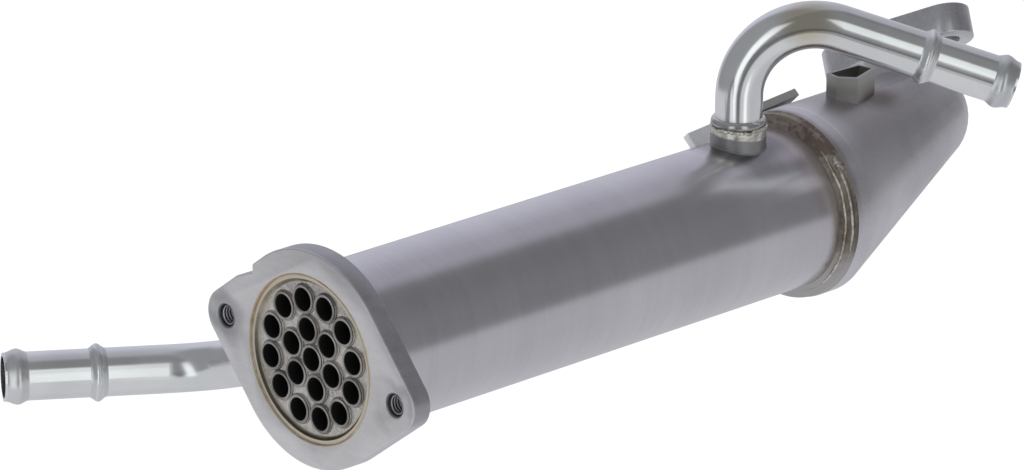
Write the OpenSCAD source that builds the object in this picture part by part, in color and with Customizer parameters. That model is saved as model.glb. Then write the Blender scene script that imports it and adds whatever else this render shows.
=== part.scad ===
// Round shell-and-tube exhaust gas cooler.
// The origin is the middle of the inlet face, +X runs along the shell to the outlet, +Z is up.

/* [Shell] */
// Outside diameter of the shell tube
shell_d = 60; // [58:0.5:70]
// Wall of the shell tube
shell_wall = 1.5; // [1:0.1:2.2]
// Distance from the inlet face to the rear header
shell_len = 233; // [226:0.5:280]
// Depth of the shell's end below the inlet face
shell_inset = 0.6; // [0.2:0.1:1.2]

/* [Gas tubes] */
// Gap between two neighbouring gas tubes
tube_gap = 0.5; // [0.3:0.1:1]
// Gap between the outer ring of tubes and the shell's inside
bundle_gap = 2.5; // [2:0.1:3.5]
// Wall of a gas tube
tube_wall = 0.8; // [0.5:0.1:1.2]
// Turn of the tube pattern about the shell axis
tube_turn = 18; // [0:1:59]
// Length of tube that stands out of each tube sheet
tube_stub = 1; // [0.5:0.1:1.4]

/* [Tube sheets] */
// Depth of the front tube sheet below the inlet face
sheet_inset = 1.9; // [1.5:0.1:3]
// Thickness of the front tube sheet
sheet_t = 2.5; // [1.5:0.1:5]
// Thickness of the rear header
header_t = 3; // [2:0.1:8]
// Height of the header's rim above the shell
header_rim = 4.3; // [3.5:0.1:6]
// Thickness of a baffle plate
baffle_t = 1.2; // [0.8:0.1:2]
// Distance of a baffle's straight edge from the shell axis
baffle_edge = 16; // [14:0.5:20]
// Distance between the two baffles
baffle_gap = 76; // [40:1:100]

/* [Inlet flange] */
// Thickness of the inlet flange
inlet_t = 8; // [6:0.5:12]
// Width of the inlet flange outside the shell
inlet_rim = 9; // [7:0.5:11]
// Distance between the two inlet bolt holes
inlet_span = 85.4; // [84:0.2:94]
// Turn of the bolt holes above the level
inlet_turn = 5.9; // [0:0.1:15]
// Radius of an ear round its bolt hole
inlet_ear_r = 9.5; // [8:0.25:12]
// Core diameter of a tapped bolt hole
inlet_hole_d = 6.8; // [5:0.1:8.4]
// Depth of the notch in the ear's shoulder
notch_depth = 2.3; // [1:0.1:3]
// Length of the notch along the shoulder
notch_len = 10.4; // [6:0.2:14]
// Distance of the notch from the point where the shoulder leaves the middle circle
notch_lead = 6.5; // [4:0.1:9]
// Length of the notch's steep side along the shoulder
notch_steep = 1.7; // [0.5:0.1:4]

/* [Outlet hood] */
// Length of the hood's round collar
collar_len = 7; // [6:0.5:16]
// Wall of the hood
hood_wall = 3; // [2:0.1:3.4]
// Distance of the hood's round end behind the header
hood_reach = 78; // [72:0.5:85]
// Height of the hood's round end above the shell axis
hood_rise = 16.5; // [8:0.5:18]
// Radius of the hood's round end
hood_end_r = 19.4; // [17:0.2:21]
// Turn of the hood about the shell axis
hood_roll = 36; // [20:1:45]
// Height of the cast lug's top above the shell axis
lug_top = 43; // [41:0.5:48]
// Distance of the lug's left corner behind the header
lug_x = 24; // [20:0.5:26]

/* [Outlet flange] */
// Thickness of the outlet flange
outlet_t = 11.5; // [6:0.5:14]
// Distance of the outlet's middle behind the header
outlet_reach = 82.6; // [78:0.2:88]
// Height of the outlet flange's underside above the shell axis
outlet_rise = 38.9; // [38:0.1:46]
// Lean of the outlet towards the rear
outlet_tilt = 18; // [10:1:25]
// Turn of the outlet ears about the outlet's middle line
outlet_spin = 19; // [0:1:30]
// Distance between the two outlet bolt holes
outlet_span = 42.4; // [42:0.2:60]
// Radius of the outlet flange round its port
outlet_mid_r = 14; // [13.5:0.25:17]
// Radius of an outlet ear round its bolt hole
outlet_ear_r = 10; // [8:0.25:11]
// Diameter of an outlet bolt hole
outlet_hole_d = 9; // [6.5:0.1:10.5]
// Diameter of the outlet port
outlet_port_d = 20; // [16:0.2:20.6]

/* [Coolant pipes] */
// Outside diameter of a coolant pipe
pipe_d = 17.2; // [15:0.1:18]
// Wall of a coolant pipe
pipe_wall = 1.2; // [0.8:0.1:1.8]
// Height of a bead above the pipe
bead_rise = 1.6; // [0.8:0.1:2]
// Radius of a bead's round section
bead_r = 1.9; // [1.6:0.1:2.6]
// Distance of the middle bead from the pipe's end
bead_back = 33; // [24:0.2:36]
// Distance of the end bead from the pipe's end
lip_back = 5; // [3:0.1:8]
// Height of the end bead above the pipe
lip_rise = 1; // [0.5:0.1:1.4]
// Width of a boss outside its pipe
boss_rim = 1.5; // [1:0.1:3]
// Height of a boss above the shell
boss_h = 6.5; // [4:0.1:9]

/* [Elbow] */
// Distance of the elbow's riser ahead of the rear header
elbow_back = 24.6; // [20.5:0.1:35]
// Height at which the elbow starts to bend
elbow_start = 48; // [44:0.2:60]
// Bend radius of the elbow's middle line
elbow_bend_r = 27; // [22:0.5:34]
// Angle of the elbow's bend
elbow_bend = 108; // [60:1:120]
// Heading of the elbow, turned from +X towards +Y
elbow_heading = -45; // [-60:1:-30]
// Straight length after the elbow's bend
elbow_tail = 65.8; // [50:0.2:80]

/* [Lower pipe] */
// Distance of the lower pipe's root from the inlet face
lower_x = 20; // [20:0.5:40]
// Angle of the lower pipe's root below the level
lower_drop = 21; // [0:1:40]
// Distance from the shell axis at which the lower pipe starts to bend
lower_start = 66.6; // [60:0.2:76]
// Bend radius of the lower pipe's middle line
lower_bend_r = 25; // [22:0.5:34]
// Angle of the lower pipe's bend
lower_bend = 59.6; // [30:0.2:70]
// Heading of the lower pipe about its root
lower_heading = -166.4; // [-180:0.2:-150]
// Straight length after the lower pipe's bend
lower_tail = 57.4; // [40:0.2:70]

/* [Bracket] */
// Thickness of the strap bracket
strap_t = 3; // [2:0.1:4]
// Distance of the strap's front end ahead of the header's rear face
strap_lead = 31.2; // [29:0.2:36]
// Length of the strap along the shell
strap_len = 59.5; // [48:0.5:60]
// Width of the strap across the shell, and length of its slanted front end
strap_w = 14; // [12.5:0.5:16]
// Length of the strap's foot on the shell
strap_foot = 14; // [8:0.5:14]
// Height of the strap's front end above the shell
strap_foot_h = 2.8; // [2.5:0.1:4.4]
// Reach of the strap's near edge from the line of its angle
strap_near = 5; // [4:0.5:7]
// Angle of the strap round the shell, from +Y
strap_turn = 45; // [35:1:50]
// Diameter of the strap's bolt hole
strap_hole_d = 8.5; // [5:0.1:9]
// Distance of the bolt hole from the strap's front end
strap_hole_at = 19; // [18:0.5:20]

/* [Welds] */
// Leg of the braze round the front tube sheet
sheet_braze = 1.2; // [0.6:0.1:1.3]
// Leg of the braze behind the inlet flange
flange_braze_leg = 1.5; // [1:0.1:1.8]
// Length along the shell of the weld at the header
header_weld_len = 2; // [1.5:0.1:6]
// Leg of the weld between header and hood
hood_weld_leg = 0.5; // [0.3:0.1:1]

/* [Hidden] */
tube_rings = 2;
tubes_per_ring = 6;
eps = 0.01;
// Clearance between the strap and the hood's collar
strap_gap = 0.3;
// Straight length of the hood's neck below the outlet flange
neck_len = 1;
// Cast lug: heading of its long sides, corner between front and long side, and the length of each side
lug_turn = 17;
lug_corner = 67;
lug_front = 7.9;
lug_near = 13.9;
lug_far = 17.9;
lug_left = [1, 6];
lug_y = 0.5;
// Depth of a flange's straight sides inside the lines that touch its circles, and of a bend's wall in its pipe
seam = 0.02;
// Length of a bend inside the straight pipe at each end
bend_over = 0.5;
hull_fn = 40;
$fn = 64;
shell_r = shell_d / 2;
shell_in_r = shell_r - shell_wall;
// Step from the middle tube to the first ring, and from ring to ring
tube_pitch = (shell_in_r - bundle_gap + tube_gap / 2) / (tube_rings + 1 / 2);
tube_d = tube_pitch - tube_gap;
pipe_r = pipe_d / 2;
pipe_in_r = pipe_r - pipe_wall;
// Distance of a hose pipe's inner end from the shell axis
pipe_root = shell_in_r - boss_rim;
header_r = shell_r + header_rim;
hood_x = shell_len + header_t;
elbow_x = shell_len - elbow_back;
collar_r = header_r + hood_weld_leg;
inlet_r = shell_r + inlet_rim;
strap_base = shell_r + strap_foot_h;
// Lean of the strap, so that it clears the collar's front edge
strap_lean = atan((collar_r + strap_gap - strap_base) / strap_lead);
tube_x0 = sheet_inset - tube_stub;
tube_x1 = hood_x + tube_stub;

// Middle of each gas tube in the plane across the shell
tube_spots = concat(
    [[0, 0]],
    [for (ring = [1:tube_rings])
        for (step = [0:tubes_per_ring * ring - 1])
            let (a = tube_turn + 360 * step / (tubes_per_ring * ring))
                tube_pitch * ring * [cos(a), sin(a)]]);

function two_digits(n) = n < 10 ? str("0", n) : str(n);
function tube_name(i) = str("gas_tube_", two_digits(i + 1));
tube_ids = [for (i = [0:len(tube_spots) - 1]) i];

// Stand a flat outline across the shell: its x becomes Y, its y becomes Z, and it grows along +X.
module across(x)
{
    translate([x, 0, 0]) rotate([90, 0, 90]) children();
}

// Round bar along the shell axis
module bar(r, x0, x1)
{
    across(x0) cylinder(r = r, h = x1 - x0);
}

// Children at the middle of each gas tube
module at_tubes()
{
    for (spot = tube_spots) translate(spot) children();
}

// Ring about the shell axis with a flat section of [radius, X] points
module axis_ring(points)
{
    across(0) rotate_extrude() polygon(points);
}

// Two-bolt flange plate: a middle disc, two ears and the straight sides that touch them
module two_bolt_plate(mid_r, ear_r, span, t)
{
    touch = acos((mid_r - ear_r) / (span / 2));
    side = [cos(touch), sin(touch)];
    under = [side.x, -side.y];
    ear = [span / 2, 0];
    mid = mid_r - seam;
    end = ear_r - seam;
    cylinder(r = mid_r, h = t);
    for (turn = [0, 180]) rotate(turn) {
        translate(ear) cylinder(r = ear_r, h = t);
        linear_extrude(t) polygon([mid * side, ear + end * side, ear + end * under, mid * under]);
    }
}

// Children at both bolt holes of a flange
module at_bolts(span)
{
    for (side = [-1, 1]) translate([side * span / 2, 0]) children();
}

// Three-sided cut in the straight shoulder of the inlet flange's far ear
module shoulder_notch()
{
    touch = acos((inlet_r - inlet_ear_r) / (inlet_span / 2));
    rotate(touch) translate([inlet_r, -notch_lead, -eps]) rotate(-90) linear_extrude(inlet_t + 2 * eps)
        polygon([[0, eps], [notch_len, eps], [notch_steep, -notch_depth]]);
}

module inlet_flange()
{
    color([0.66, 0.66, 0.67])
    across(0) rotate(inlet_turn) difference() {
        two_bolt_plate(inlet_r, inlet_ear_r, inlet_span, inlet_t);
        shoulder_notch();
        translate([0, 0, -eps]) cylinder(r = shell_r, h = inlet_t + 2 * eps);
        at_bolts(inlet_span) translate([0, 0, -eps]) cylinder(d = inlet_hole_d, h = inlet_t + 2 * eps);
    }
}

module shell_tube()
{
    color([0.62, 0.61, 0.63]) difference() {
        bar(shell_r, shell_inset, shell_len);
        bar(shell_in_r, shell_inset - eps, shell_len + eps);
        at_elbow() cylinder(d = pipe_d, h = shell_d);
        at_lower_pipe() cylinder(d = pipe_d, h = shell_d);
    }
}

module front_tube_sheet()
{
    color([0.64, 0.63, 0.62]) across(sheet_inset) difference() {
        cylinder(r = shell_in_r, h = sheet_t);
        at_tubes() translate([0, 0, -eps]) cylinder(d = tube_d, h = sheet_t + 2 * eps);
    }
}

module rear_header()
{
    color([0.45, 0.42, 0.39]) across(shell_len) difference() {
        cylinder(r = header_r, h = header_t);
        at_tubes() translate([0, 0, -eps]) cylinder(d = tube_d, h = header_t + 2 * eps);
    }
}

module gas_tube(spot)
{
    color([0.6, 0.59, 0.58]) across(tube_x0) translate(spot) difference() {
        cylinder(d = tube_d, h = tube_x1 - tube_x0);
        translate([0, 0, -eps]) cylinder(d = tube_d - 2 * tube_wall, h = tube_x1 - tube_x0 + 2 * eps);
    }
}

// Round plate on the tubes with one side cut straight, so that the coolant goes round it
module baffle(x, side)
{
    color([0.6, 0.6, 0.61]) across(x) difference() {
        cylinder(r = shell_in_r, h = baffle_t);
        at_tubes() translate([0, 0, -eps]) cylinder(d = tube_d, h = baffle_t + 2 * eps);
        rotate(side) translate([-shell_d, baffle_edge, -eps]) cube([2 * shell_d, shell_d, baffle_t + 2 * eps]);
    }
}

module front_baffle()
{
    baffle((shell_len - baffle_gap) / 2, 0);
}

module rear_baffle()
{
    baffle((shell_len + baffle_gap) / 2, 180);
}

// Hood frame: along the shell from the header's rear face, turned about the shell axis
module at_hood()
{
    rotate([-hood_roll, 0, 0]) translate([hood_x, 0, 0]) children();
}

// Outlet frame: middle of the outlet flange's underside, +Z out of the outlet
module at_outlet()
{
    at_hood() translate([outlet_reach, 0, outlet_rise]) rotate([0, outlet_tilt, 0]) children();
}

// Hood form at a depth below its outside, its two mouths longer by over: collar to round end, round end to neck
module hood_form(depth, over)
{
    hull() {
        at_hood() translate([-over, 0, 0]) rotate([0, 90, 0])
            cylinder(r = collar_r - depth, h = collar_len + over, $fn = 2 * hull_fn);
        hood_end(depth);
    }
    hull() {
        hood_end(depth);
        at_outlet() translate([0, 0, -neck_len])
            cylinder(r = outlet_port_d / 2 + hood_wall - depth, h = neck_len + over, $fn = hull_fn);
    }
}

module hood_end(depth)
{
    at_hood() translate([hood_reach, 0, hood_rise]) sphere(r = hood_end_r - depth, $fn = hull_fn);
}

function heading(a) = [cos(a), sin(a)];

// Five-sided lug that stands on the hood behind its collar
module cast_lug()
{
    front = lug_front * heading(lug_turn - lug_corner);
    translate([hood_x + lug_x, lug_y, 0]) linear_extrude(lug_top)
        polygon([[0, 0], front, front + lug_near * heading(lug_turn), lug_far * heading(lug_turn), lug_left]);
}

module outlet_hood()
{
    color([0.5, 0.5, 0.51]) difference() {
        union() {
            hood_form(0, 0);
            cast_lug();
        }
        hood_form(hood_wall, hood_wall);
    }
}

module outlet_flange()
{
    color([0.6, 0.6, 0.61]) at_outlet() {
        difference() {
            rotate(90 + outlet_spin) two_bolt_plate(outlet_mid_r, outlet_ear_r, outlet_span, outlet_t);
            translate([0, 0, -eps]) cylinder(d = outlet_port_d, h = outlet_t + 2 * eps);
            rotate(90 + outlet_spin) at_bolts(outlet_span)
                translate([0, 0, -eps]) cylinder(d = outlet_hole_d, h = outlet_t + 2 * eps);
        }
    }
}

module at_elbow()
{
    translate([elbow_x, 0, 0]) rotate([0, 0, elbow_heading]) children();
}

module at_lower_pipe()
{
    translate([lower_x, 0, 0]) rotate([-90 - lower_drop, 0, 0]) rotate([0, 0, lower_heading]) children();
}

// Flat ring that is the section of a hose pipe, its wall thinned on both faces
module pipe_section(thin)
{
    difference() {
        circle(pipe_r - thin);
        circle(pipe_in_r + thin);
    }
}

module at_bend_end(start, bend_r, bend)
{
    translate([bend_r * (1 - cos(bend)), 0, start + bend_r * sin(bend)]) rotate([0, bend, 0]) children();
}

// Rolled bead round a pipe at height z
module bead(z, rise)
{
    translate([0, 0, z]) rotate_extrude() difference() {
        translate([pipe_r + rise - bead_r, 0]) circle(bead_r);
        translate([0, -bead_r]) square([pipe_r - pipe_wall / 2, 2 * bead_r]);
    }
}

// Hose pipe: straight out of the shell, round a bend towards +X, then straight,
// with a seat bead on its boss, a middle bead and an end bead
module hose_pipe(start, bend_r, bend, tail)
{
    over = bend_over * 180 / (PI * bend_r);
    translate([0, 0, pipe_root]) linear_extrude(start - pipe_root) pipe_section(0);
    translate([bend_r, 0, start]) rotate([90, bend + over - 180, 0])
        rotate_extrude(angle = bend + 2 * over) translate([bend_r, 0]) pipe_section(seam);
    bead(shell_r + boss_h + bead_r, boss_rim);
    at_bend_end(start, bend_r, bend) {
        linear_extrude(tail) pipe_section(0);
        bead(tail - bead_back, bead_rise);
        bead(tail - lip_back, lip_rise);
    }
}

// Ring on the shell round a hose pipe's root
module boss()
{
    difference() {
        cylinder(r = pipe_r + boss_rim, h = shell_r + boss_h);
        translate([0, 0, -eps]) cylinder(r = pipe_r, h = shell_r + boss_h + 2 * eps);
    }
}

module coolant_elbow()
{
    color([0.75, 0.76, 0.77]) at_elbow() hose_pipe(elbow_start, elbow_bend_r, elbow_bend, elbow_tail);
}

module coolant_pipe()
{
    color([0.75, 0.76, 0.77]) at_lower_pipe() hose_pipe(lower_start, lower_bend_r, lower_bend, lower_tail);
}

module elbow_boss()
{
    color([0.58, 0.55, 0.47]) difference() {
        at_elbow() boss();
        bar(shell_r, 0, shell_len);
    }
}

module pipe_boss()
{
    color([0.6, 0.58, 0.53]) difference() {
        at_lower_pipe() boss();
        bar(shell_r, 0, shell_len);
    }
}

// Strap frame: across the shell at the strap's angle, X as on the shell, +Z out of the shell
module at_strap()
{
    rotate([strap_turn - 90, 0, 0]) translate([hood_x - strap_lead, 0, 0]) children();
}

// Flat strap with a slanted front end, leaning up over the header's rim
module strap_plate()
{
    translate([0, -strap_near, strap_base]) rotate([0, -strap_lean, 0]) difference() {
        linear_extrude(strap_t) polygon([[0, 0], [strap_len, 0], [strap_len, strap_w], [strap_w, strap_w], [0, strap_t]]);
        translate([strap_hole_at, strap_w / 2, -eps]) cylinder(d = strap_hole_d, h = strap_t + 2 * eps);
    }
}

// Strap with a folded foot along its near edge, down to the shell
module strap_bracket()
{
    color([0.6, 0.6, 0.6]) difference() {
        at_strap() {
            strap_plate();
            translate([0, -strap_near, 0]) cube([strap_foot, strap_t, strap_base + strap_t / 2]);
        }
        bar(shell_r, 0, shell_len);
    }
}

// Bead of braze in the corner of the front tube sheet and the shell
module sheet_braze_ring()
{
    color([0.6, 0.52, 0.36])
        axis_ring([[shell_in_r - sheet_braze, sheet_inset], [shell_in_r, sheet_inset],
                   [shell_in_r, sheet_inset - sheet_braze]]);
}

// Bead of braze in the corner of the inlet flange's back and the shell
module flange_braze_ring()
{
    color([0.55, 0.48, 0.36])
        axis_ring([[shell_r, inlet_t], [shell_r + flange_braze_leg, inlet_t], [shell_r, inlet_t + flange_braze_leg]]);
}

// Weld in the corner of the shell and the header's rim
module header_weld_ring()
{
    color([0.38, 0.34, 0.3])
        axis_ring([[shell_r, shell_len - header_weld_len], [header_r, shell_len], [shell_r, shell_len]]);
}

// Weld in the step from the header's rim to the hood's collar
module hood_weld_ring()
{
    color([0.55, 0.5, 0.42])
        axis_ring([[header_r, hood_x - 2 * hood_weld_leg], [collar_r, hood_x], [header_r, hood_x]]);
}

inlet_flange();
shell_tube();
front_tube_sheet();
rear_header();
front_baffle();
rear_baffle();
outlet_hood();
outlet_flange();
coolant_elbow();
elbow_boss();
coolant_pipe();
pipe_boss();
strap_bracket();
sheet_braze_ring();
flange_braze_ring();
header_weld_ring();
hood_weld_ring();
for (i = tube_ids) gas_tube(tube_spots[i]);
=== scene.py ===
from math import atan2, cos, pi, radians, sin, sqrt

import bmesh
import bpy
from mathutils import Matrix, Vector, noise


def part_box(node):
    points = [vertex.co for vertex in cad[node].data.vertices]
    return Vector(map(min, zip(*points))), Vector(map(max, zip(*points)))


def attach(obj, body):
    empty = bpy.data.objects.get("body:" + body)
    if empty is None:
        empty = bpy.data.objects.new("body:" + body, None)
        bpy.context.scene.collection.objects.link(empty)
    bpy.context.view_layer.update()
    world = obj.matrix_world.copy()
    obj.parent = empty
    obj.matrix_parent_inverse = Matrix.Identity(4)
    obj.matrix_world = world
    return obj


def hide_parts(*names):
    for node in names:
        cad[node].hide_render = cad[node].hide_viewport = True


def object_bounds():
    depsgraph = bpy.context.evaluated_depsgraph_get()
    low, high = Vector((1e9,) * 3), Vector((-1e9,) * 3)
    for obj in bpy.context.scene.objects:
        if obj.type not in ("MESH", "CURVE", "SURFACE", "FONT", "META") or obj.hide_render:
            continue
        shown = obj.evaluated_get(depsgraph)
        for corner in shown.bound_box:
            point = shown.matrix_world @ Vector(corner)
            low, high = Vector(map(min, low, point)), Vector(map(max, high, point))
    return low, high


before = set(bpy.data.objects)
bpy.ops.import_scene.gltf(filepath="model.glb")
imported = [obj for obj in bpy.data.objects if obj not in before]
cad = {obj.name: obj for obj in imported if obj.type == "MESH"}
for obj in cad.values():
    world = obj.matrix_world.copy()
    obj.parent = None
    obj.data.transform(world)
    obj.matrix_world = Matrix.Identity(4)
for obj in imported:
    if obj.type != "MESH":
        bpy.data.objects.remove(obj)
cad_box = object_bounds()

MM = 0.001

# Sizes that the finishes and the added pieces share, read from the solids
SHELL_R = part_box("shell_tube")[1][2]
header_low, header_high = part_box("rear_header")
HEADER_R = header_high[2]
HEADER_X = header_low[0]
HOOD_X = header_high[0]
boss_low, boss_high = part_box("elbow_boss")
RISER_X = (boss_low[0] + boss_high[0]) / 2
RISER_R = (boss_high[0] - boss_low[0]) / 2
BOSS_TOP = boss_high[2]
# Height of the boss's foot, painted grey as shade next to the shell, below the braze that ran down it
BOSS_SHADED_FOOT = 4.4 * MM
INLET_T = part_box("inlet_flange")[1][0]
sheet_low, sheet_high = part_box("front_tube_sheet")
SHEET_X = sheet_low[0]
SHEET_R = sheet_high[1]
lower_low, lower_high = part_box("pipe_boss")
LOWER_X = (lower_low[0] + lower_high[0]) / 2
# Angle of the lower pipe's root below the level
LOWER_DROP = radians(21)
# Bolt holes of the inlet flange: distance, turn above the level, core radius and pitch of the thread
INLET_SPAN = 85.4 * MM
INLET_TURN = radians(5.9)
THREAD_R = 3.4 * MM
THREAD_PITCH = 1.25 * MM
BOLT_SPOTS = [Vector((0, cos(INLET_TURN), sin(INLET_TURN))) * (side * INLET_SPAN / 2) for side in (-1, 1)]
# Countersink at the mouth of a bolt hole
SINK = 1.05 * MM
# Lug on the hood: height of its top, and its walls and depth inside
LUG_TOP = 43 * MM
LUG_WALL = 1.1 * MM
LUG_DEPTH = 4 * MM
# Painted shadow in the corner beside the lug
LUG_SHADOW_SPOT = Vector((277.0, -4.0, 32.5)) * MM
# Hose pipes: radius, place of a pipe's root, start, radius and angle of the bend, straight length after it
PIPE_R = 8.6 * MM
ELBOW = (Matrix.Translation((RISER_X, 0, 0)) @ Matrix.Rotation(radians(-45), 4, "Z"),
         48 * MM, 27 * MM, radians(108), 65.8 * MM)
LOWER = (Matrix.Translation((LOWER_X, 0, 0)) @ Matrix.Rotation(-pi / 2 - LOWER_DROP, 4, "X")
         @ Matrix.Rotation(radians(-166.4), 4, "Z"), 66.6 * MM, 25 * MM, radians(59.6), 57.4 * MM)
# Straw tint left by the bending heat, on the crown of the elbow
BEND_TINT = Vector((219.5, -22.5, 78.0)) * MM
# Beads of a hose pipe: distance from the pipe's end, height, and length of the swell before and after the crest
MIDDLE_BEAD = (33 * MM, 1.65 * MM, 3.3 * MM, 3.3 * MM)
END_BEAD = (4.8 * MM, 1.25 * MM, 3.9 * MM, 4.5 * MM)


# Shader values

class Value:
    """A socket of a material. An operator between values adds a Math node."""

    def __init__(self, tree, socket):
        self.tree = tree
        self.socket = socket

    def node(self, kind, inputs, out=0, **settings):
        """A node of this kind: settings first, then the values or links of its sockets."""
        made = self.tree.nodes.new(kind)
        for name, setting in settings.items():
            setattr(made, name, setting)
        for key, value in inputs.items():
            if isinstance(value, Value):
                self.tree.links.new(value.socket, made.inputs[key])
            else:
                made.inputs[key].default_value = value
        return Value(self.tree, made.outputs[out])

    def math(self, operation, *others):
        return self.node("ShaderNodeMath", dict(enumerate((self,) + others)), operation=operation)

    def __add__(self, other):
        return self.math("ADD", other)

    __radd__ = __add__

    def __sub__(self, other):
        return self.math("SUBTRACT", other)

    def __rsub__(self, other):
        return self.node("ShaderNodeMath", {0: other, 1: self}, operation="SUBTRACT")

    def __mul__(self, other):
        return self.math("MULTIPLY", other)

    __rmul__ = __mul__

    def swing(self, amount):
        """A noise from 0 to 1 turned into an amount about zero."""
        return (self - 0.5) * amount

    def step(self, start, end):
        """0 before start, 1 after end, smooth between; start may be the larger."""
        return self.node("ShaderNodeMapRange", {"Value": self, "From Min": start, "From Max": end},
                         interpolation_type="SMOOTHSTEP")

    def band(self, middle, half, soft):
        """1 within half of middle, fading to 0 over soft."""
        away = (self - middle).math("ABSOLUTE")
        return away.step(half + soft, half)

    def mixed(self, low, high):
        """The colour low where this is 0 and high where it is 1."""
        return self.node("ShaderNodeMix", {0: self, 6: low, 7: high}, out=2, data_type="RGBA")

    def grain(self, scale, stretch=(1, 1, 1), detail=3.0, rough=0.55):
        """Noise at these coordinates, stretched along each axis."""
        placed = self.node("ShaderNodeMapping", {"Vector": self, "Scale": stretch})
        return self.node("ShaderNodeTexNoise",
                         {"Vector": placed, "Scale": scale, "Detail": detail, "Roughness": rough})

    def split(self):
        """The three parts of a vector."""
        made = self.node("ShaderNodeSeparateXYZ", {0: self})
        return [Value(self.tree, socket) for socket in made.socket.node.outputs]


def length(first, *others):
    """Length of a vector with these parts."""
    total = first.math("POWER", 2.0)
    for part in others:
        total = total + part.math("POWER", 2.0)
    return total.math("SQRT")


def rgb(red, green, blue):
    """Linear colour of screen values from 0 to 255."""
    return tuple((c / 255 / 12.92 if c <= 10 else ((c / 255 + 0.055) / 1.055) ** 2.4)
                 for c in (red, green, blue)) + (1.0,)


def finish(name, metallic=1.0):
    """A new material: its shader, its object coordinates and their three parts."""
    made = bpy.data.materials.new(name)
    made.use_nodes = True
    tree = made.node_tree
    shader = tree.nodes["Principled BSDF"]
    shader.inputs["Metallic"].default_value = metallic
    coordinates = tree.nodes.new("ShaderNodeTexCoord")
    at = Value(tree, coordinates.outputs["Object"])
    return made, shader, at, at.split()


def give(shader, **sockets):
    """Links the shader's sockets; an underscore stands for a space."""
    for name, value in sockets.items():
        value.tree.links.new(value.socket, shader.inputs[name.replace("_", " ")])


def relief(height, depth, strength):
    """A bumped normal from a height value."""
    return height.node("ShaderNodeBump", {"Height": height, "Distance": depth, "Strength": strength})


# Finishes

def shell_steel():
    """Round-brushed stainless tube, browned by the weld at its rear end, with a painted shadow line in the step
    before the header, and painted shadow and reflection of the boss round the riser, partly heat tint.
    """
    made, shader, at, (x, y, z) = finish("shell_steel")
    lines = at.grain(1.0, (2600, 30, 30), 2.0)
    broad = at.grain(1.0, (160, 14, 14))
    cloud = at.grain(22.0, detail=4.0)
    tone = 0.5 + lines.swing(0.3) + broad.swing(0.3) + cloud.swing(0.6)
    colour = tone.step(0.1, 0.9).mixed(rgb(214, 212, 216), rgb(234, 233, 238))
    wave = cloud.swing(12 * MM) + broad.swing(4 * MM)
    upper = z.step(-12 * MM, 22 * MM)
    along = x + wave * 0.5 + upper * (4 * MM)
    pink = along.band(HEADER_X - 7 * MM, 1 * MM, 4 * MM)
    colour = (pink * upper * 0.3).mixed(colour, rgb(206, 182, 182))
    brown = along.step(HEADER_X - 7.5 * MM, HEADER_X - 2 * MM)
    colour = (brown * 0.75).mixed(colour, rgb(112, 101, 93))
    # Painted shadow: a dark line on the shell in the step before the header's rim
    seam = (x + wave * 0.08).step(HEADER_X - 2.2 * MM, HEADER_X - 1.2 * MM)
    colour = (seam * 0.8).mixed(colour, rgb(62, 55, 50))
    # Painted shadow and reflection of the boss on the shell round the riser, partly heat tint
    foot = (length(x - RISER_X, y) + wave).step(RISER_R + 11 * MM, RISER_R) * z.step(0.0, 20 * MM)
    colour = (foot * 0.7).mixed(colour, rgb(120, 117, 119))
    behind_flange = (x + wave).step(INLET_T + 6 * MM, INLET_T + 0.5 * MM)
    colour = (behind_flange * 0.5).mixed(colour, rgb(176, 164, 146))
    mouth = x.step(2 * MM, 1 * MM)
    colour = (mouth * 0.8).mixed(colour, rgb(206, 196, 176))
    give(shader, Base_Color=colour, Metallic=1 - brown * 0.35 - mouth * 0.3,
         Roughness=0.23 + broad.swing(0.04) + brown * 0.02 + foot * 0.02 + mouth * 0.15,
         Normal=relief(lines * 0.6 + broad * 0.8 + cloud * 0.4, 0.05 * MM, 0.16))
    return made


def flange_steel():
    """Blanked and faced plate: dull sides and a paler scuffed face, soiled round the bolt holes, with painted
    light on the lower sides and painted shade inside the bolt holes.
    """
    made, shader, at, (x, y, z) = finish("flange_steel")
    cloud = at.grain(38.0, detail=4.0)
    scuff = at.grain(1.0, (220, 90, 420))
    fine = at.grain(1500.0, detail=2.0)
    tone = (0.5 + cloud.swing(0.7) + scuff.swing(0.4) + fine.swing(0.25)).step(0.1, 0.9)
    face = tone.mixed(rgb(222, 221, 222), rgb(250, 250, 251))
    side = tone.mixed(rgb(178, 178, 181), rgb(218, 218, 222))
    # Painted light: the lower part of the sides is painted paler
    side = (z.step(-7 * MM, -13 * MM) * 0.8).mixed(side, rgb(236, 236, 239))
    colour = x.step(0.2 * MM, 1.2 * MM).mixed(face, side)
    for spot in BOLT_SPOTS:
        away = length(y - spot.y, z - spot.z)
        soiled = (away + cloud.swing(30 * MM)).step(THREAD_R + 10 * MM, THREAD_R + 3 * MM)
        colour = (soiled * cloud.step(0.36, 0.56) * 0.65).mixed(colour, rgb(170, 171, 174))
        # Painted shade: the countersink and the bore of each bolt hole are painted dark
        hole_shade = away.step(THREAD_R + 0.25 * MM, THREAD_R + 1 * MM).mixed(rgb(66, 67, 68), rgb(150, 151, 152))
        colour = away.step(THREAD_R + 1.15 * MM, THREAD_R + 0.95 * MM).mixed(colour, hole_shade)
    give(shader, Base_Color=colour, Roughness=0.42 + cloud.swing(0.12) + scuff.swing(0.1),
         Normal=relief(fine * 0.6 + scuff * 0.5 + cloud, 0.12 * MM, 0.35))
    return made


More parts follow.
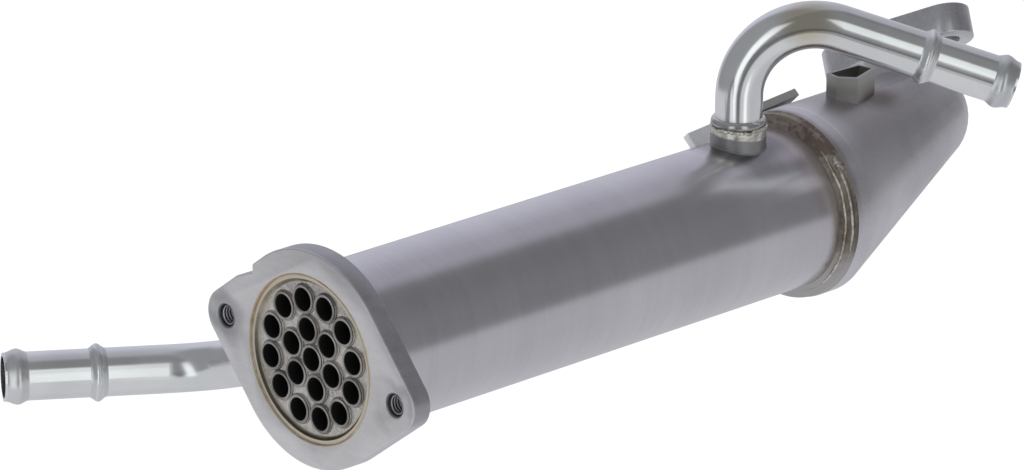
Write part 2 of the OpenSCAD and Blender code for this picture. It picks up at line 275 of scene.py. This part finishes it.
def sheet_steel():
    """Tube sheet after the furnace: satin, with soft golden clouds towards the braze at its edge."""
    made, shader, at, (x, y, z) = finish("sheet_steel")
    cloud = at.grain(60.0, detail=4.0)
    fine = at.grain(1400.0, detail=2.0)
    speck = at.grain(420.0, rough=0.7)
    tone = (cloud * 0.5 + speck * 0.5 + fine.swing(0.3)).step(0.3, 0.65)
    steel = tone.mixed(rgb(172, 168, 162), rgb(242, 239, 233))
    rim = (length(y, z) + cloud.swing(6 * MM)).step(SHELL_R - 4.5 * MM, SHELL_R - 2 * MM)
    colour = (rim * 0.6).mixed(steel, rgb(204, 198, 182))
    give(shader, Base_Color=colour, Roughness=0.38 + cloud.swing(0.15),
         Normal=relief(fine * 0.5 + cloud, 0.1 * MM, 0.35))
    return made


def tube_steel():
    """Gas tube: bright at its mouth, with painted black shade inside."""
    made, shader, at, (x, y, z) = finish("tube_steel")
    cloud = at.grain(150.0)
    mouth = cloud.step(0.3, 0.7).mixed(rgb(152, 149, 144), rgb(198, 195, 190))
    # Painted shade: deeper inside the tube the colour turns black
    shaded_depth = (x + cloud.swing(0.2 * MM)).step(SHEET_X - 0.95 * MM, SHEET_X - 0.5 * MM)
    inner_shade = (0.0064, 0.0057, 0.0046, 1)
    give(shader, Base_Color=shaded_depth.mixed(mouth, inner_shade), Roughness=0.4 + shaded_depth * 0.45, Metallic=1 - shaded_depth * 0.8)
    return made


def sheet_braze():
    """Fillet of braze in the corner of the tube sheet: painted shadow dark at the shell's wall, strongest at the
    bottom, tan towards the sheet.
    """
    made, shader, at, (x, y, z) = finish("sheet_braze")
    cloud = at.grain(120.0, detail=4.0)
    rough = at.grain(700.0)
    tan = (cloud + rough.swing(0.4)).step(0.25, 0.75).mixed(rgb(168, 160, 140), rgb(214, 208, 192))
    # Painted shadow in the gap at the shell's wall, stronger towards the bottom
    gap_shadow = (length(y, z) + cloud.swing(0.8 * MM)).step(SHEET_R - 1.1 * MM, SHEET_R - 0.6 * MM)
    low = (z + cloud.swing(20 * MM)).step(16 * MM, -12 * MM)
    colour = (gap_shadow * (0.35 + low * 0.6)).mixed(tan, rgb(84, 78, 70))
    give(shader, Base_Color=colour, Roughness=0.38 + cloud.swing(0.2),
         Normal=relief(rough * 0.6 + cloud, 0.3 * MM, 0.5))
    return made


def face_gold():
    """Thin golden line at the flange's bore, orange where it was heated most."""
    made, shader, at, (x, y, z) = finish("face_gold", 0.8)
    cloud = at.grain(90.0, detail=4.0)
    gold = cloud.step(0.3, 0.7).mixed(rgb(168, 154, 122), rgb(208, 196, 164))
    wave = cloud.swing(10 * MM)
    hot = (y + wave).step(6 * MM, 18 * MM) * (z + wave).step(4 * MM, 16 * MM)
    colour = (hot * 0.7).mixed(gold, rgb(206, 160, 124))
    give(shader, Base_Color=colour, Roughness=0.4 + cloud.swing(0.2), Normal=relief(cloud, 0.3 * MM, 0.4))
    return made


def braze(name, dark, light):
    """Golden braze or weld metal with a rippled skin."""
    made, shader, at, parts = finish(name)
    cloud = at.grain(120.0, detail=4.0)
    rough = at.grain(700.0)
    colour = (cloud + rough.swing(0.4)).step(0.25, 0.75).mixed(dark, light)
    give(shader, Base_Color=colour, Roughness=0.34 + cloud.swing(0.2),
         Normal=relief(rough * 0.6 + cloud, 0.3 * MM, 0.5))
    return made


def plated_pipe(name, dark, light, rough):
    """Drawn and plated hose pipe: painted shade in grey at the elbow's root, a straw tint on its bend, a duller
    lower root.
    """
    made, shader, at, (x, y, z) = finish(name)
    cloud = at.grain(45.0)
    fine = at.grain(900.0, detail=2.0)
    colour = cloud.step(0.3, 0.7).mixed(dark, light)
    # Painted shade: the pipe's root just above the boss is painted grey
    root = (z + cloud.swing(6 * MM)).step(BOSS_TOP + 6 * MM, BOSS_TOP + 1 * MM)
    root = root * (x - RISER_X).math("ABSOLUTE").step(30 * MM, 20 * MM)
    colour = (root * 0.9).mixed(colour, rgb(158, 156, 152))
    from_bend = length(x - BEND_TINT.x, y - BEND_TINT.y, z - BEND_TINT.z)
    straw = (from_bend + cloud.swing(10 * MM)).step(12.5 * MM, 3 * MM)
    colour = (straw * 0.6).mixed(colour, rgb(206, 194, 160))
    dull = (x + cloud.swing(20 * MM)).step(-20 * MM, 4 * MM) * x.step(60 * MM, 40 * MM)
    give(shader, Base_Color=colour,
         Roughness=rough + root * 0.08 + dull * 0.08 + cloud.swing(0.08) + fine.swing(0.04),
         Normal=relief(fine * 0.06 + cloud, 0.12 * MM, 0.2))
    return made


def brazed_boss():
    """Boss on the shell: pale braze run down from its seam, painted shade in grey at its foot."""
    made, shader, at, (x, y, z) = finish("brazed_boss", 0.85)
    cloud = at.grain(150.0, detail=4.0)
    rough = at.grain(520.0)
    pale = (cloud + rough.swing(0.6)).step(0.3, 0.7).mixed(rgb(172, 168, 158), rgb(238, 236, 228))
    # Height above the shell's own round, in any direction about its axis
    height = length(y, z) + cloud.swing(1 * MM)
    # Painted shade: the boss's foot next to the shell is painted grey
    foot = height.step(SHELL_R + BOSS_SHADED_FOOT + 0.6 * MM, SHELL_R + BOSS_SHADED_FOOT)
    colour = (foot * 0.9).mixed(pale, rgb(142, 144, 146))
    give(shader, Base_Color=colour, Roughness=0.24 + foot * 0.2 + cloud.swing(0.12),
         Normal=relief(rough * 0.4 + cloud, 0.3 * MM, 0.35))
    return made


def cast_hood():
    """Blasted hood: fine even grit, browned by the weld at its collar, with painted shadow of the elbow pipe on
    top and beside its lug, and its lug painted darker as shade.
    """
    made, shader, at, (x, y, z) = finish("cast_hood")
    cloud = at.grain(26.0, detail=4.0)
    grit = at.grain(1300.0, detail=2.0)
    colour = (cloud + grit.swing(0.3)).step(0.2, 0.8).mixed(rgb(202, 201, 204), rgb(236, 236, 240))
    wave = cloud.swing(20 * MM)
    brown = (x + wave * 0.2).step(HOOD_X + 3.5 * MM, HOOD_X + 0.5 * MM) * z.step(-6 * MM, 20 * MM)
    colour = (brown * 0.5).mixed(colour, rgb(146, 135, 128))
    arc = (x + wave * 0.1).band(HOOD_X + 7.2 * MM, 0.3 * MM, 0.7 * MM) * z.step(14 * MM, 30 * MM)
    colour = (arc * 0.6 * cloud.step(0.3, 0.6)).mixed(colour, rgb(246, 244, 247))
    along = x + wave
    # Painted shadow of the elbow pipe on the top of the hood
    top = (z + wave).step(18 * MM, 34 * MM) * z.step(41 * MM, 36 * MM)
    top = top * along.step(HOOD_X + 8 * MM, HOOD_X + 20 * MM) * along.step(HOOD_X + 75 * MM, HOOD_X + 30 * MM)
    colour = (top * 0.42).mixed(colour, rgb(150, 140, 132))
    # Painted shadow at the foot of the lug
    beside = length((x - LUG_SHADOW_SPOT.x) * 0.6, y - LUG_SHADOW_SPOT.y, z - LUG_SHADOW_SPOT.z)
    lug_shadow = (beside + wave * 0.3).step(8.5 * MM, 1 * MM)
    colour = (lug_shadow * 0.7).mixed(colour, rgb(122, 112, 104))
    # Painted shade: the lug under the outlet flange and the elbow is painted darker
    lug = x.band(HOOD_X + 32 * MM, 10 * MM, 2 * MM) * y.band(2 * MM, 9 * MM, 1 * MM) * z.step(34 * MM, 38 * MM)
    colour = (lug * 0.7).mixed(colour, rgb(158, 158, 150))
    give(shader, Base_Color=colour, Roughness=0.4 + cloud.swing(0.12) + brown * 0.06,
         Normal=relief(grit * 0.5 + cloud, 0.12 * MM, 0.3))
    return made


def plain_steel(name, dark, light, rough):
    """Pressed or sawn steel with a mottled skin."""
    made, shader, at, parts = finish(name)
    cloud = at.grain(55.0, detail=4.0)
    fine = at.grain(1200.0, detail=2.0)
    colour = (cloud + fine.swing(0.4)).step(0.2, 0.8).mixed(dark, light)
    give(shader, Base_Color=colour, Roughness=rough + cloud.swing(0.14),
         Normal=relief(fine * 0.5 + cloud, 0.12 * MM, 0.35))
    return made


def strap_satin():
    """Plated strap, greyer towards its rear where it passes the header."""
    made, shader, at, (x, y, z) = finish("strap_satin", 0.6)
    cloud = at.grain(55.0, detail=4.0)
    fine = at.grain(1200.0, detail=2.0)
    bright = (cloud + fine.swing(0.4)).step(0.2, 0.8).mixed(rgb(230, 233, 238), rgb(250, 251, 253))
    # Greyer towards the rear end, past the header
    rear_grey = (x + cloud.swing(12 * MM)).step(HEADER_X - 18 * MM, HEADER_X + 4 * MM)
    colour = (rear_grey * 0.85).mixed(bright, rgb(154, 155, 152))
    give(shader, Base_Color=colour, Roughness=0.4 + cloud.swing(0.14),
         Normal=relief(fine * 0.5 + cloud, 0.12 * MM, 0.35))
    return made


def weld_brown():
    """Weld ring: brown scale in runs round the shell, burnt on top, darkest half way, clean below."""
    made, shader, at, (x, y, z) = finish("weld_brown", 0.7)
    runs = at.grain(1.0, (900, 60, 60))
    cloud = at.grain(110.0, detail=4.0)
    fleck = at.grain(520.0, rough=0.7)
    tone = (cloud * 0.4 + runs * 0.3 + fleck * 0.3).step(0.36, 0.64)
    colour = tone.mixed(rgb(88, 78, 70), rgb(168, 158, 146))
    colour = (z.step(12 * MM, 24 * MM) * 0.3).mixed(colour, rgb(188, 178, 170))
    burnt = z.step(6 * MM, 22 * MM) * (cloud + runs.swing(0.3) + fleck.swing(0.4)).step(0.46, 0.58)
    colour = (burnt * 0.75).mixed(colour, rgb(88, 71, 65))
    colour = (z.band(2 * MM, 8 * MM, 6 * MM) * 0.5).mixed(colour, rgb(66, 58, 51))
    clean = (z + cloud.swing(20 * MM)).step(-4 * MM, -22 * MM)
    colour = clean.mixed(colour, rgb(172, 170, 170))
    give(shader, Base_Color=colour, Roughness=0.36 + cloud.swing(0.2),
         Normal=relief(runs + cloud + fleck * 0.5, 0.4 * MM, 0.5))
    return made


PIPE_FINISH = plated_pipe("bright_pipe", rgb(238, 241, 242), rgb(249, 251, 251), 0.14)
BEAD_FINISH = plated_pipe("bead_satin", rgb(216, 219, 221), rgb(238, 241, 242), 0.33)
BOSS_FINISH = brazed_boss()
BAFFLE_FINISH = plain_steel("baffle_satin", rgb(160, 160, 162), rgb(200, 200, 202), 0.45)
RING_FINISH = weld_brown()
WELD_FINISH = braze("weld_gold", rgb(150, 141, 127), rgb(251, 249, 242))
TUBE_FINISH = tube_steel()
FILLET_FINISH = plain_steel("fillet_steel", rgb(116, 112, 106), rgb(206, 202, 196), 0.4)
THREAD_FINISH = plain_steel("thread_steel", rgb(156, 156, 158), rgb(222, 222, 224), 0.3)
# All solids but the gas tubes
FINISHES = {
    "shell_tube": shell_steel(),
    "inlet_flange": flange_steel(),
    "front_tube_sheet": sheet_steel(),
    "rear_header": RING_FINISH,
    "header_weld_ring": RING_FINISH,
    "hood_weld_ring": RING_FINISH,
    "outlet_hood": cast_hood(),
    "outlet_flange": plain_steel("flange_satin", rgb(202, 203, 207), rgb(240, 241, 244), 0.36),
    "coolant_elbow": PIPE_FINISH,
    "coolant_pipe": PIPE_FINISH,
    "elbow_boss": BOSS_FINISH,
    "pipe_boss": BOSS_FINISH,
    "strap_bracket": strap_satin(),
    "sheet_braze_ring": sheet_braze(),
    "flange_braze_ring": braze("golden_braze", rgb(160, 146, 112), rgb(206, 194, 160)),
    "front_baffle": BAFFLE_FINISH,
    "rear_baffle": BAFFLE_FINISH,
}

for name, solid in cad.items():
    solid.data.materials.clear()
    solid.data.materials.append(FINISHES.get(name, TUBE_FINISH))


# Added pieces

def placed(name, shape, material):
    """An object from a finished shape."""
    mesh = bpy.data.meshes.new(name)
    shape.to_mesh(mesh)
    shape.free()
    mesh.materials.append(material)
    made = bpy.data.objects.new(name, mesh)
    bpy.context.scene.collection.objects.link(made)
    return made


def piece(name, shape, material):
    """A smooth piece that rides on the body."""
    bmesh.ops.recalc_face_normals(shape, faces=shape.faces)
    for face in shape.faces:
        face.smooth = True
    made = placed(name, shape, material)
    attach(made, "root")
    return made


def ripple(angle, pitch, seed):
    """Uneven run of a bead laid by hand, from -1 to 1, the same after a full turn."""
    return noise.noise(Vector((cos(angle) * pitch, sin(angle) * pitch, seed)))


def window(angle, middle, half, soft):
    """1 within half of the middle angle, fading to 0 over soft, all in degrees."""
    away = abs((angle * 180 / pi - middle + 180) % 360 - 180)
    return min(1.0, max(0.0, (half + soft - away) / soft))


def round_ring(shape, thick, sides, spot, centre, axis, steps):
    """Adds a round bead: a circle at spot, turned once about an axis through the centre."""
    circle = bmesh.ops.create_circle(shape, segments=sides, radius=thick)["verts"]
    bmesh.ops.rotate(shape, verts=circle, cent=(0, 0, 0), matrix=Matrix.Rotation(pi / 2, 3, "X"))
    bmesh.ops.translate(shape, verts=circle, vec=spot)
    edges = [edge for edge in shape.edges if edge.verts[0] in circle]
    bmesh.ops.spin(shape, geom=circle + edges, cent=centre, axis=axis, angle=2 * pi, steps=steps, use_merge=True)


def ring_bead(name, middle, thick, wander, seed, share, material):
    """Bead about the shell axis at middle = (x, radius), its place and thickness uneven.
    share(angle) thins it where it was ground off or is missing."""
    x, radius = middle
    shape = bmesh.new()
    round_ring(shape, thick, 8, (x, 0, radius), (0, 0, 0), (1, 0, 0), 200)
    for vert in shape.verts:
        angle = atan2(vert.co.z, vert.co.y)
        core = Vector((x, radius * cos(angle), radius * sin(angle)))
        size = (1 + 0.3 * ripple(angle, 14, seed) + 0.15 * ripple(angle, 60, seed + 3)) * share(angle)
        aside = wander * (ripple(angle, 5, seed + 7) + 0.5 * ripple(angle, 20, seed + 9))
        vert.co = core + (vert.co - core) * size + Vector((aside, 0, 0))
    return piece(name, shape, material)


def proud(*windows):
    """Share of a weld that stands proud in these windows and is sunk elsewhere."""
    return lambda angle: 0.05 + 0.95 * max(window(angle, *one) for one in windows)


def weld_blob():
    """Lump where the second bead was started."""
    shape = bmesh.new()
    # Turn about the shell in degrees, then place along it, height and size in millimetres
    lumps = [(139.5, 0.5, 0.1, 1.45), (137.4, -0.2, 0.1, 1.15), (141.6, 1.2, -0.1, 1.05), (135.2, 0.4, -0.2, 0.95)]
    for turn, along, height, size in lumps:
        angle = radians(turn)
        radius = HEADER_R + height * MM
        spot = Vector((HEADER_X + along * MM, radius * cos(angle), radius * sin(angle)))
        bmesh.ops.create_icosphere(shape, subdivisions=3, radius=size * MM, matrix=Matrix.Translation(spot))
    for vert in shape.verts:
        vert.co += Vector((1, 1, 1)) * (0.3 * MM * noise.noise(vert.co * 900))
    return piece("weld_blob", shape, WELD_FINISH)


def saddle_bead(name, turn, along, seed):
    """Braze bead round a boss's foot, lying on the round of the shell."""
    shape = bmesh.new()
    round_ring(shape, 0.32 * MM, 10, (RISER_R, 0, 0), (0, 0, 0), (0, 0, 1), 120)
    for vert in shape.verts:
        angle = atan2(vert.co.y, vert.co.x)
        core = Vector((cos(angle), sin(angle), 0)) * RISER_R
        vert.co = core + (vert.co - core) * (1 + 0.35 * ripple(angle, 4, seed) + 0.2 * ripple(angle, 15, seed))
        vert.co.z += sqrt(SHELL_R ** 2 - vert.co.y ** 2)
    bmesh.ops.rotate(shape, verts=shape.verts, cent=(0, 0, 0), matrix=Matrix.Rotation(turn, 3, "X"))
    bmesh.ops.translate(shape, verts=shape.verts, vec=(along, 0, 0))
    return piece(name, shape, BOSS_FINISH)


def elbow_seam():
    """Uneven line of braze between the boss and the pipe's seat bead."""
    radius = RISER_R - 0.25 * MM
    shape = bmesh.new()
    round_ring(shape, 0.6 * MM, 8, (radius, 0, 0), (0, 0, 0), (0, 0, 1), 160)
    for vert in shape.verts:
        angle = atan2(vert.co.y, vert.co.x)
        core = Vector((cos(angle), sin(angle), 0)) * radius
        vert.co = core + (vert.co - core) * (1 + 0.45 * ripple(angle, 9, 2.2))
        vert.co.z += MM * (0.7 * ripple(angle, 3, 4.4) + 0.5 * ripple(angle, 11, 6.1))
    bmesh.ops.translate(shape, verts=shape.verts, vec=(RISER_X, 0, BOSS_TOP + 0.2 * MM))
    return piece("elbow_seam", shape, BOSS_FINISH)


def hose_bead(name, pipe, bead):
    """Rolled bead of a hose pipe, its flanks easing into the pipe."""
    root, start, bend_r, bend, tail = pipe
    back, rise, before, after = bead
    steps = 8
    flanks = [(-before * (1 - k / steps), k / steps) for k in range(steps)]
    flanks += [(after * k / steps, 1 - k / steps) for k in range(steps + 1)]
    # The flanks end just under the pipe's skin, and the bead's inside lies in its wall
    foot = PIPE_R - 0.04 * MM
    inside = PIPE_R - 0.4 * MM
    crest = tail - back
    swell = rise + 0.04 * MM
    points = [(foot + swell * (1 - cos(pi * share)) / 2, 0, crest + along) for along, share in flanks]
    points += [(inside, 0, crest + along) for along in (after, -before)]
    shape = bmesh.new()
    section = [shape.verts.new(point) for point in points]
    for one, other in zip(section, section[1:] + section[:1]):
        shape.edges.new((one, other))
    bmesh.ops.spin(shape, geom=shape.verts[:] + shape.edges[:], cent=(0, 0, 0), axis=(0, 0, 1), angle=2 * pi,
                   steps=64, use_merge=True)
    bend_end = Matrix.Translation((bend_r * (1 - cos(bend)), 0, start + bend_r * sin(bend)))
    bmesh.ops.transform(shape, matrix=root @ bend_end @ Matrix.Rotation(bend, 4, "Y"), verts=shape.verts)
    return piece(name, shape, BEAD_FINISH)


def tube_fillets():
    """Fillet of braze round each tube where it leaves the front tube sheet."""
    shape = bmesh.new()
    for name in cad:
        if not name.startswith("gas_tube"):
            continue
        low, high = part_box(name)
        radius = (high[1] - low[1]) / 2
        spot = Vector((SHEET_X, (low[1] + high[1]) / 2, (low[2] + high[2]) / 2))
        round_ring(shape, 0.55 * MM, 8, spot + Vector((0, 0, radius)), spot, (1, 0, 0), 36)
    return piece("tube_fillets", shape, FILLET_FINISH)


def bolt_thread(name, spot):
    """Screw thread in one ear of the inlet flange."""
    shape = bmesh.new()
    root, crest = THREAD_R + 0.06 * MM, THREAD_R - 0.5 * MM
    half_root, half_crest = THREAD_PITCH * 0.42, 0.1 * MM
    start = 0.9 * MM
    profile = ((-half_root, root), (-half_crest, crest), (half_crest, crest), (half_root, root))
    section = [shape.verts.new(spot + Vector((start + along, 0, out))) for along, out in profile]
    edges = [shape.edges.new((section[k], section[(k + 1) % 4])) for k in range(4)]
    turns = int((INLET_T - 2 * start) / THREAD_PITCH)
    steps = 32 * turns
    bmesh.ops.spin(shape, geom=section + edges, cent=spot, axis=(1, 0, 0), angle=2 * pi * turns, steps=steps,
                   dvec=(THREAD_PITCH * turns / steps, 0, 0))
    bmesh.ops.holes_fill(shape, edges=[edge for edge in shape.edges if edge.is_boundary])
    return piece(name, shape, THREAD_FINISH)


def merged(name):
    """A copy of a solid's mesh with its triangles joined into whole faces."""
    shape = bmesh.new()
    shape.from_mesh(cad[name].data)
    bmesh.ops.remove_doubles(shape, verts=shape.verts, dist=0.001 * MM)
    bmesh.ops.dissolve_limit(shape, angle_limit=radians(1), verts=shape.verts, edges=shape.edges)
    return shape


def stand_in(name, shape):
    """A piece in the place of a solid, with the solid's finish."""
    made = piece(name + "_soft", shape, FINISHES[name])
    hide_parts(name)
    return made


def softened(name, shape, width):
    """The solid again with its sharp edges rounded, in the solid's place."""
    made = stand_in(name, shape)
    rounding = made.modifiers.new("edges", "BEVEL")
    rounding.width = width
    rounding.segments = 3
    rounding.limit_method = "ANGLE"
    rounding.angle_limit = radians(32)
    rounding.harden_normals = True
    return made


def sunk_flange():
    """Inlet flange with a countersink at the front of each bolt hole."""
    shape = merged("inlet_flange")
    for spot in BOLT_SPOTS:
        rim = [edge for edge in shape.edges
               if all((vert.co - spot).length < THREAD_R + 0.1 * MM for vert in edge.verts)]
        bmesh.ops.bevel(shape, geom=rim, offset=SINK, segments=1, profile=0.5, affect="EDGES", material=-1)
    return softened("inlet_flange", shape, 0.5 * MM)


def hollow_lug():
    """Hood with its lug open on top."""
    shape = merged("outlet_hood")
    top = [face for face in shape.faces
           if face.normal.z > 0.99 and abs(face.calc_center_median().z - LUG_TOP) < 0.05 * MM]
    bmesh.ops.inset_region(shape, faces=top, thickness=LUG_WALL, use_even_offset=True)
    floor = bmesh.ops.extrude_face_region(shape, geom=top)["geom"]
    bmesh.ops.delete(shape, geom=top, context="FACES")
    bmesh.ops.translate(shape, verts=[item for item in floor if isinstance(item, bmesh.types.BMVert)],
                        vec=(0, 0, -LUG_DEPTH))
    for edge in shape.edges:
        edge.smooth = edge.is_manifold and edge.calc_face_angle() < radians(28)
    return stand_in("outlet_hood", shape)


# Bead in the step from the shell to the header's rim, then a second one on the rim
ring_bead("shell_weld_bead", (HEADER_X - 1.1 * MM, SHELL_R + 2 * MM), 0.55 * MM, 0.45 * MM, 1.3,
          proud((178, 46, 8), (0, 45, 20)), WELD_FINISH)
ring_bead("rim_weld_bead", (HEADER_X + 0.25 * MM, HEADER_R - 0.05 * MM), 0.5 * MM, 0.2 * MM, 5.1,
          proud((164, 23, 10), (15, 35, 20)), WELD_FINISH)
# Braze that shows as a thin line between the shell's end and the flange's face
ring_bead("face_braze_line", (0.12 * MM, SHELL_R + 0.15 * MM), 0.4 * MM, 0.05 * MM, 2.6,
          lambda angle: 0.75 + 0.35 * ripple(angle, 2.0, 8.8), face_gold())
weld_blob()
elbow_seam()
saddle_bead("elbow_foot_braze", 0.0, RISER_X, 3.1)
saddle_bead("lower_foot_braze", -pi / 2 - LOWER_DROP, LOWER_X, 8.2)
hose_bead("elbow_middle_bead", ELBOW, MIDDLE_BEAD)
hose_bead("elbow_end_bead", ELBOW, END_BEAD)
hose_bead("lower_middle_bead", LOWER, MIDDLE_BEAD)
hose_bead("lower_end_bead", LOWER, END_BEAD)
tube_fillets()
bolt_thread("near_ear_thread", BOLT_SPOTS[0])
bolt_thread("far_ear_thread", BOLT_SPOTS[1])
sunk_flange()
hollow_lug()
softened("outlet_flange", merged("outlet_flange"), 0.6 * MM)
softened("strap_bracket", merged("strap_bracket"), 0.4 * MM)


# Studio

DOME_R = 6.0
FLOOR_HALF = 8.0
FLOOR_DROP = 60 * MM
# Directions of the two tall lights, in degrees about the upright axis
RIGHT_LIGHT = -108.5
LEFT_LIGHT = -164
BETWEEN_LIGHTS = -138
SHADOW = (0.13, 0.13, 0.135, 1)


def studio_walls():
    """Glow of the studio by direction: a pale far side, a dark side at the camera with two tall lights
    in it, and a pale table that mirrors the lights."""
    made = bpy.data.materials.new("studio_walls")
    made.use_nodes = True
    made.cycles.emission_sampling = "NONE"
    tree = made.node_tree
    tree.nodes.clear()
    coordinates = tree.nodes.new("ShaderNodeTexCoord")
    at = Value(tree, coordinates.outputs["Object"])
    x, y, z = at.node("ShaderNodeVectorMath", {0: at}, operation="NORMALIZE").split()
    turn = y.math("ARCTAN2", x) * (180 / pi)
    lift = z.math("ARCSINE") * (180 / pi)
    near_end = x.step(0.3, -0.1)
    far = y.step(-0.14, 0.08)
    dark = lift.step(45, 15).mixed((0.18, 0.177, 0.185, 1), (0.212, 0.21, 0.216, 1))
    dark = x.step(0.55, 0.3).mixed(dark, (0.225, 0.225, 0.232, 1))
    wall = far.mixed(dark, (0.4, 0.395, 0.44, 1))
    bright = y.step(0.2, 0.85).mixed(wall, (0.58, 0.58, 0.66, 1))
    wall = far.mixed(wall, bright)
    wall = (near_end * far).mixed(wall, (0.28, 0.28, 0.295, 1))
    light = lift.step(32, 14).mixed((0.8, 0.82, 0.82, 1), (1.0, 1.02, 1.02, 1))
    left = turn.band(LEFT_LIGHT, 8, 6)
    lights = turn.band(RIGHT_LIGHT, 9, 3) * lift.step(52, 43) + left * lift.step(48, 34)
    wall = lights.mixed(wall, light)
    horizon = lift.band(-7, 4, 4) * turn.band(BETWEEN_LIGHTS, 12, 5)
    wall = horizon.mixed(wall, SHADOW)
    table = y.step(-0.8, 0.6).mixed((0.475, 0.472, 0.495, 1), (0.55, 0.55, 0.58, 1))
    table = near_end.mixed(table, (0.57, 0.57, 0.59, 1))
    mirrored = (turn.band(RIGHT_LIGHT + 4.5, 5, 5) + left) * lift.step(-30, -24)
    table = mirrored.mixed(table, light)
    line = turn.band(BETWEEN_LIGHTS - 1, 6, 5) * lift.band(-17, 4, 3)
    table = line.mixed(table, SHADOW)
    # The table begins lower at the near end
    down = (lift + near_end * 8).step(-2.5, -6.5)
    glow = at.node("ShaderNodeEmission", {"Color": down.mixed(wall, table), "Strength": 1.0})
    end = tree.nodes.new("ShaderNodeOutputMaterial")
    tree.links.new(glow.socket, end.inputs["Surface"])
    return made


def studio_dome():
    """Walls and ceiling of the studio, seen only in the metal."""
    shape = bmesh.new()
    bmesh.ops.create_icosphere(shape, subdivisions=4, radius=DOME_R)
    dome = placed("studio_dome", shape, studio_walls())
    dome.visible_camera = False
    dome.visible_diffuse = False
    dome.visible_shadow = False
    return dome


def studio_floor(height):
    """Wide white table under the part."""
    made = bpy.data.materials.new("white_table")
    made.use_nodes = True
    inputs = made.node_tree.nodes["Principled BSDF"].inputs
    inputs["Roughness"].default_value = 1.0
    inputs["Specular IOR Level"].default_value = 0.0
    inputs["Base Color"].default_value = (0.3, 0.3, 0.3, 1)
    inputs["Emission Color"].default_value = (1, 1, 1, 1)
    inputs["Emission Strength"].default_value = 0.76
    shape = bmesh.new()
    bmesh.ops.create_grid(shape, x_segments=1, y_segments=1, size=FLOOR_HALF)
    bmesh.ops.translate(shape, verts=shape.verts, vec=(0, 0, height))
    floor = placed("studio_floor", shape, made)
    floor.visible_glossy = False
    return floor


world = bpy.data.worlds.new("white_room")
world.use_nodes = True
world.node_tree.nodes["Background"].inputs["Color"].default_value = (1, 1, 1, 1)
world.node_tree.nodes["Background"].inputs["Strength"].default_value = 1.0
world.cycles.sampling_method = "NONE"
bpy.context.scene.world = world
bpy.context.scene.view_settings.view_transform = "Standard"

studio_dome()
studio_floor(cad_box[0][2] - FLOOR_DROP)


# Camera

IMAGE_W = 1024
IMAGE_H = 470
FOCAL_PX = 6500
CAMERA_AWAY = 2.211
CAMERA_TURN = radians(-42.3)
CAMERA_LIFT = radians(20.9)
# Where the inlet face's middle stands in the picture
INLET_PX = (309, 360)

back = Vector((sin(CAMERA_TURN) * cos(CAMERA_LIFT), -cos(CAMERA_TURN) * cos(CAMERA_LIFT), sin(CAMERA_LIFT)))
right = Vector((cos(CAMERA_TURN), sin(CAMERA_TURN), 0))
up = back.cross(right)
ahead = -back + right * ((IMAGE_W / 2 - INLET_PX[0]) / FOCAL_PX) + up * ((INLET_PX[1] - IMAGE_H / 2) / FOCAL_PX)
ahead.normalize()
# Level with the part's own sides, so that the aim off its middle doesn't roll the picture
side = (right - ahead * right.dot(ahead)).normalized()
top = side.cross(ahead)
lens = bpy.data.cameras.new("photo_camera")
lens.sensor_width = 36
lens.lens = FOCAL_PX * lens.sensor_width / IMAGE_W
lens.clip_end = 50
camera = bpy.data.objects.new("photo_camera", lens)
camera.location = back * CAMERA_AWAY
camera.rotation_euler = Matrix((side, top, -ahead)).transposed().to_euler()
bpy.context.scene.collection.objects.link(camera)
bpy.context.scene.camera = camera

bpy.context.view_layer.update()
